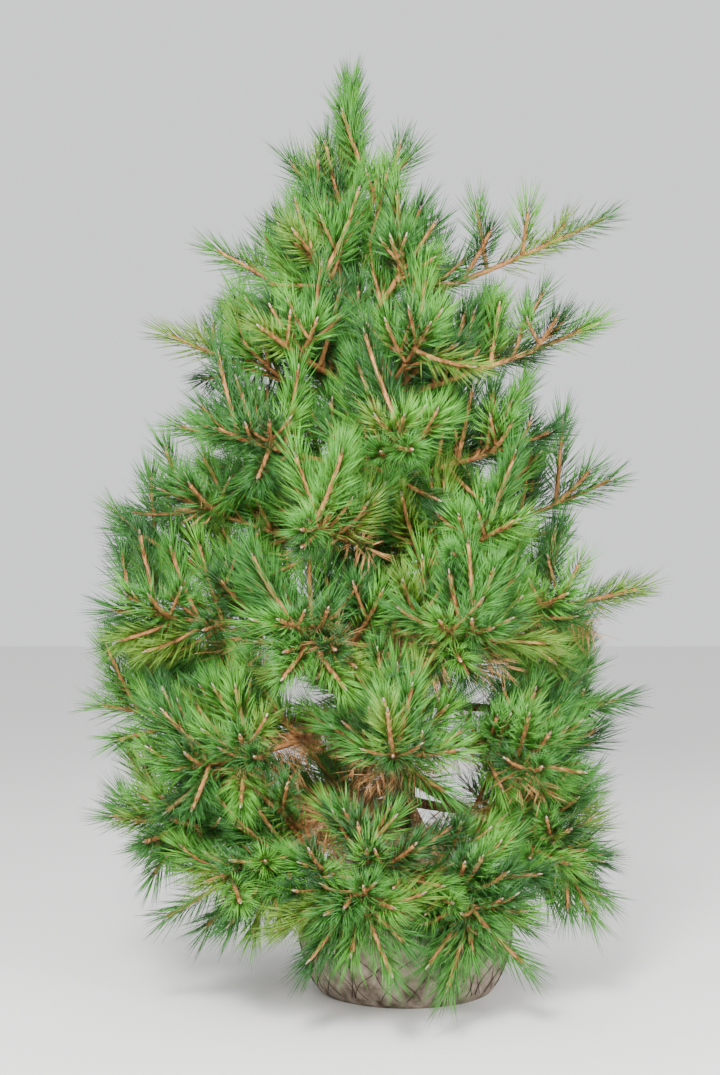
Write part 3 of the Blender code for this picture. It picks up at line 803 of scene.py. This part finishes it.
def needleTree():
    tree = bpy.data.node_groups.new("needles round shoots", "GeometryNodeTree")
    tree.interface.new_socket("Geometry", in_out="INPUT", socket_type="NodeSocketGeometry")
    tree.interface.new_socket("Needle", in_out="INPUT", socket_type="NodeSocketObject")
    for label in ("Spacing", "Naked Root", "Root Sweep", "Tip Sweep", "Jitter"):
        tree.interface.new_socket(label, in_out="INPUT", socket_type="NodeSocketFloat")
    tree.interface.new_socket("Seed", in_out="INPUT", socket_type="NodeSocketInt")
    tree.interface.new_socket("Finish", in_out="INPUT", socket_type="NodeSocketMaterial")
    tree.interface.new_socket("Geometry", in_out="OUTPUT", socket_type="NodeSocketGeometry")
    enter, leave = tree.nodes.new("NodeGroupInput"), tree.nodes.new("NodeGroupOutput")

    def link(source, target):
        tree.links.new(source, target)

    def calculate(operation, first, second=None, third=None):
        node = tree.nodes.new("ShaderNodeMath")
        node.operation = operation
        for k, value in enumerate((first, second, third)):
            if isinstance(value, (int, float)):
                node.inputs[k].default_value = value
            elif value is not None:
                link(value, node.inputs[k])
        return node.outputs[0]

    def named(name, kind):
        node = tree.nodes.new("GeometryNodeInputNamedAttribute")
        node.data_type = kind
        node.inputs["Name"].default_value = name
        return node.outputs["Attribute"]

    def chance(low, high, shift):
        node = tree.nodes.new("FunctionNodeRandomValue")
        node.data_type = "FLOAT"
        for label, value in (("Min", low), ("Max", high)):
            socket = next(s for s in node.inputs if s.name == label and s.type == "VALUE")
            if isinstance(value, (int, float)):
                socket.default_value = value
            else:
                link(value, socket)
        link(calculate("ADD", enter.outputs["Seed"], shift), node.inputs["Seed"])
        return next(s for s in node.outputs if s.type == "VALUE")

    def scaled(vector, factor):
        node = tree.nodes.new("ShaderNodeVectorMath")
        node.operation = "SCALE"
        link(vector, node.inputs[0])
        link(factor, node.inputs["Scale"])
        return node.outputs[0]

    curve = tree.nodes.new("GeometryNodeMeshToCurve")
    dots = tree.nodes.new("GeometryNodeCurveToPoints")
    dots.mode = "LENGTH"
    link(enter.outputs["Geometry"], curve.inputs["Mesh"])
    link(curve.outputs["Curve"], dots.inputs["Curve"])
    link(enter.outputs["Spacing"], dots.inputs["Length"])

    # the needle leaves the shoot in its heading, leaned out by the sweep
    turn = tree.nodes.new("ShaderNodeVectorRotate")
    turn.rotation_type = "AXIS_ANGLE"
    link(dots.outputs["Normal"], turn.inputs["Vector"])
    link(named("heading", "FLOAT_VECTOR"), turn.inputs["Axis"])
    index = tree.nodes.new("GeometryNodeInputIndex")
    golden = calculate("MULTIPLY", index.outputs["Index"], goldenAngle)
    link(calculate("ADD", golden, chance(-needleSet["turn"], needleSet["turn"], 1)), turn.inputs["Angle"])
    less = calculate("SUBTRACT", enter.outputs["Tip Sweep"], enter.outputs["Root Sweep"])
    sweep = calculate("MULTIPLY_ADD", named("share", "FLOAT"), less, enter.outputs["Root Sweep"])
    spread = chance(calculate("MULTIPLY", enter.outputs["Jitter"], -1), enter.outputs["Jitter"], 2)
    lean = calculate("ADD", sweep, spread)
    aim = tree.nodes.new("ShaderNodeVectorMath")
    aim.operation = "ADD"
    link(scaled(turn.outputs["Vector"], calculate("SINE", lean)), aim.inputs[0])
    link(scaled(named("heading", "FLOAT_VECTOR"), calculate("COSINE", lean)), aim.inputs[1])
    facing = tree.nodes.new("FunctionNodeAxesToRotation")
    facing.primary_axis = "Z"
    facing.secondary_axis = "X"
    link(aim.outputs[0], facing.inputs[0])
    link(named("heading", "FLOAT_VECTOR"), facing.inputs[1])

    place = tree.nodes.new("GeometryNodeInstanceOnPoints")
    needle = tree.nodes.new("GeometryNodeObjectInfo")
    link(enter.outputs["Needle"], needle.inputs["Object"])
    link(dots.outputs["Points"], place.inputs["Points"])
    link(needle.outputs["Geometry"], place.inputs["Instance"])
    link(facing.outputs[0], place.inputs["Rotation"])
    size = calculate("MULTIPLY", named("size", "FLOAT"), chance(*needleSet["sizeJitter"], 3))
    covered = calculate("GREATER_THAN", named("run", "FLOAT"), enter.outputs["Naked Root"])
    link(size, place.inputs["Scale"])
    link(covered, place.inputs["Selection"])
    real = tree.nodes.new("GeometryNodeRealizeInstances")
    paint = tree.nodes.new("GeometryNodeSetMaterial")
    link(place.outputs["Instances"], real.inputs["Geometry"])
    link(real.outputs["Geometry"], paint.inputs["Geometry"])
    link(enter.outputs["Finish"], paint.inputs["Material"])
    link(paint.outputs["Geometry"], leave.inputs["Geometry"])
    return tree


def shootLines(name, sprays):
    # one line for each shoot, with what the needles read at its points
    points, edges, share, run, size, heading = [], [], [], [], [], []
    steps = needleSet["lineSteps"]
    for arc, scale in sprays:
        first, length = len(points), arc.length()
        for k in range(steps + 1):
            points.append(arc.at(k / steps))
            heading.extend(arc.heading(k / steps))
            share.append(k / steps)
            run.append(length * k / steps)
            size.append(scale)
        edges.extend((first + k, first + k + 1) for k in range(steps))
    mesh = bpy.data.meshes.new(name)
    mesh.from_pydata(points, edges, [])
    for label, values in (("share", share), ("run", run), ("size", size)):
        mesh.attributes.new(label, "FLOAT", "POINT").data.foreach_set("value", values)
    mesh.attributes.new("heading", "FLOAT_VECTOR", "POINT").data.foreach_set("vector", heading)
    lines = bpy.data.objects.new(name, mesh)
    bpy.context.scene.collection.objects.link(lines)
    return lines


def setNeedles(name, sprays, finish, tree, pair, spacing, sweeps):
    lines = shootLines(name + "Lines", sprays)
    modifier = lines.modifiers.new("needles", "NODES")
    modifier.node_group = tree
    sockets = {item.name: item.identifier for item in tree.interface.items_tree if item.in_out == "INPUT"}
    values = {
        "Needle": pair, "Spacing": spacing, "Naked Root": needleSet["naked"], "Seed": needleSet["seed"],
        "Root Sweep": math.radians(sweeps[0]), "Tip Sweep": math.radians(sweeps[1]),
        "Jitter": math.radians(needleSet["jitter"]), "Finish": finish,
    }
    for label, value in values.items():
        modifier[sockets[label]] = value
    reader = bpy.context.evaluated_depsgraph_get()
    mesh = bpy.data.meshes.new_from_object(lines.evaluated_get(reader), depsgraph=reader)
    mesh.name = name
    for label in ("share", "run", "size", "heading"):
        if label in mesh.attributes:
            mesh.attributes.remove(mesh.attributes[label])
    bpy.data.objects.remove(lines)
    piece = bpy.data.objects.new(name, mesh)
    bpy.context.scene.collection.objects.link(piece)
    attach(piece, "root")
    print(name, "has", sum(len(face.vertices) - 2 for face in mesh.polygons), "triangles")


def partArc(arc, first, final):
    # the stretch of an arc between two shares of it
    start, middle, end = arc.at(first), arc.at((first + final) / 2), arc.at(final)
    return Arc(start, middle * 2 - (start + end) / 2, end)


def dealSprays():
    # each spray takes one of the tints by chance, in their shares
    rng = random.Random(needleSet["seed"])
    names, weights = [tint[0] for tint in tints], [tint[3] for tint in tints]
    dealt = {name: [] for name in names}
    for mass in masses:
        layers = needleSet["leaderLayers"] if mass["whorl"] == "leader" else 1
        older = partArc(mass["limb"], max(mass["bare"], needleSet["oldestShare"]), mass["last"])
        for arc in mass["shoots"] * layers + [older] + mass["fill"] + mass["twigs"]:
            share = needleSet["twigScale"] if arc in mass["twigs"] else 1.0
            scale = rng.uniform(*needleSet["scale"]) * share
            dealt[rng.choices(names, weights)[0]].append((arc, scale))
    return dealt


def ballTop(angle, radius):
    # a place on the ball's shoulder
    drop = deadSet["rimDrop"] * (radius / skeletonSet["ballRadius"]) ** deadSet["rimRound"]
    return Vector((math.cos(angle) * radius, math.sin(angle) * radius, skeletonSet["ballHeight"] - drop))


def hangingSprays(rng):
    # dead needles that hang from the inner limbs
    sprays = []
    for mass in masses:
        for _ in range(deadSet["tufts"].get(mass["whorl"], 0)):
            t = rng.uniform(*deadSet["stretch"])
            swing = rng.uniform(-deadSet["swing"], deadSet["swing"])
            pitch = rng.uniform(*deadSet["pitch"])
            heading = sideHeading(mass["limb"], t, swing, pitch)
            length = rng.uniform(*deadSet["length"])
            arc = shootArc(mass["limb"].at(t), heading, length, -rng.uniform(*deadSet["droop"]))
            if ballRoom(arc.end) > deadSet["ballGap"]:
                sprays.append((arc, rng.uniform(*deadSet["scale"])))
    return sprays


def fallenSprays(rng):
    # dead needles that lie on the ball
    sprays = []
    startLift, endLift = deadSet["lift"]
    for _ in range(deadSet["fallen"]):
        angle = rng.uniform(0, math.tau)
        radius = rng.uniform(*deadSet["fallenPlace"])
        start = ballTop(angle, radius) + up * startLift
        turn = rng.uniform(0, math.tau)
        end = start + Vector((math.cos(turn), math.sin(turn), 0)) * deadSet["fallenLength"]
        end.z = ballTop(0, min(math.hypot(end.x, end.y), skeletonSet["ballRadius"])).z + endLift
        sprays.append((Arc(start, start.lerp(end, 0.5) + up * deadSet["bow"], end), deadSet["fallenScale"]))
    return sprays


def makeNeedles():
    pair, tree = needlePair(), needleTree()
    dealt = dealSprays()
    for name, low, high, _ in tints:
        finish = makeFinish("needles " + name.lower(), "mottle", low, high, needleSet["toneSize"],
                            needleSet["roughness"], 0.0)
        sprays = dealt[name]
        setNeedles("needles" + name, sprays, finish, tree, pair, needleSet["spacing"], needleSet["sweeps"])
    rng = random.Random(deadSet["seed"])
    sprays = hangingSprays(rng) + fallenSprays(rng)
    finish = makeFinish("needles dead", *deadSet["finish"])
    setNeedles("needlesDead", sprays, finish, tree, pair, deadSet["spacing"], deadSet["sweeps"])
    bpy.data.objects.remove(pair)


makeNeedles()
print("needles set")

# Root ball: a hessian sack, tied in wire netting

sackSet = {
    "rings": 64, "sides": 144,
    "shoulder": 2.6, "fullness": 0.8, "crowding": 1.25, "belly": (1.25, 0.5),  # the solid's own profile
    "ease": 0.5,  # lumps and folds fade out at the foot and the seat
    "lump": 0.009, "lumpSize": (2.2, 7), "fineShare": 0.4, "fineSize": 3.1, "lumpRise": 0.4,
    "fold": 0.005, "foldRise": 3, "foldWander": 3, "pleats": 22,
    "finish": ("weave", (0.090, 0.060, 0.040), (0.56, 0.46, 0.36), 34, 0.95, 0.002),
}
wireSet = {
    "count": 30, "sides": 5, "steps": 60, "radius": 0.0011, "twist": 1.10, "stretch": (0.04, 0.92),
    "pull": 0.22, "pullSize": (3, 5), "lift": 0.0010, "cross": 0.0006,  # one set lies over the other
    "finish": ("mottle", (0.035, 0.026, 0.020), (0.11, 0.075, 0.050), 60, 0.55, 0.0, 0.6),
}


def sackPoint(share, angle, lift=0.0):
    foot, seat = skeletonSet["ballFoot"], skeletonSet["ballSeat"]
    rest = foot + (seat - foot) * share ** sackSet["shoulder"]
    belly = (skeletonSet["ballRadius"] - foot) * max(math.sin(math.pi * share), 0.0) ** sackSet["fullness"]
    low, less = sackSet["belly"]
    radius = rest + belly * (low - less * share)
    height = skeletonSet["ballHeight"] * (1 - (1 - share) ** sackSet["crowding"])
    out = Vector((math.cos(angle), math.sin(angle), 0))
    ease = math.sin(math.pi * min(max(share, 0.0), 1.0)) ** sackSet["ease"]
    across, along = sackSet["lumpSize"]
    spot = Vector((out.x * across, out.y * across, height * along))
    fine = sackSet["fineShare"] * sackSet["lump"] * noise.noise(spot * sackSet["fineSize"])
    lump = sackSet["lump"] * noise.noise(spot) + fine
    pleat = math.sin(sackSet["pleats"] * angle + sackSet["foldWander"] * noise.noise(spot))
    fold = sackSet["fold"] * share ** sackSet["foldRise"] * pleat
    return out * (radius + (lump + fold) * ease + lift) + up * (height + sackSet["lumpRise"] * lump * ease)


def makeSack():
    rings, sides = sackSet["rings"], sackSet["sides"]
    points = [sackPoint(r / (rings - 1), math.tau * k / sides) for r in range(rings) for k in range(sides)]
    for k in range(sides):
        points[k].z = 0.0
    faces = []
    for r in range(rings - 1):
        low, high = r * sides, (r + 1) * sides
        faces += [(low + k, low + (k + 1) % sides, high + (k + 1) % sides, high + k) for k in range(sides)]
    points += [Vector((0, 0, 0)), Vector((0, 0, points[-1].z))]
    bottom, top, rim = len(points) - 2, len(points) - 1, (rings - 1) * sides
    faces += [(bottom, (k + 1) % sides, k) for k in range(sides)]
    faces += [(top, rim + k, rim + (k + 1) % sides) for k in range(sides)]
    sack = Builder()
    sack.points, sack.faces = points, faces
    piece = sack.finish("rootBallSack", makeFinish("hessian", *sackSet["finish"]))
    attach(piece, "root")
    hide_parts("root_ball")


def wirePath(start, side):
    steps, (first, run) = wireSet["steps"], wireSet["stretch"]
    across, along = wireSet["pullSize"]
    path = []
    for k in range(steps + 1):
        share = first + run * k / steps
        angle = start + side * wireSet["twist"] * share
        spot = Vector((math.cos(angle) * across, math.sin(angle) * across, share * along))
        pulled = wireSet["pull"] * noise.noise(spot)
        path.append(sackPoint(share, angle + pulled, wireSet["lift"] + wireSet["cross"] * side))
    return path


def makeNetting():
    netting = Builder()
    for number in range(wireSet["count"]):
        for side in (-1, 1):
            path = wirePath(math.tau * number / wireSet["count"], side)
            headings = [(b - a).normalized() for a, b in zip(path, path[1:])]
            radii = [wireSet["radius"]] * len(path)
            netting.tube(path, headings + headings[-1:], radii, wireSet["sides"])
    piece = netting.finish("netting", makeFinish("netting wire", *wireSet["finish"]))
    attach(piece, "root")


makeSack()
makeNetting()
print("root ball wrapped")
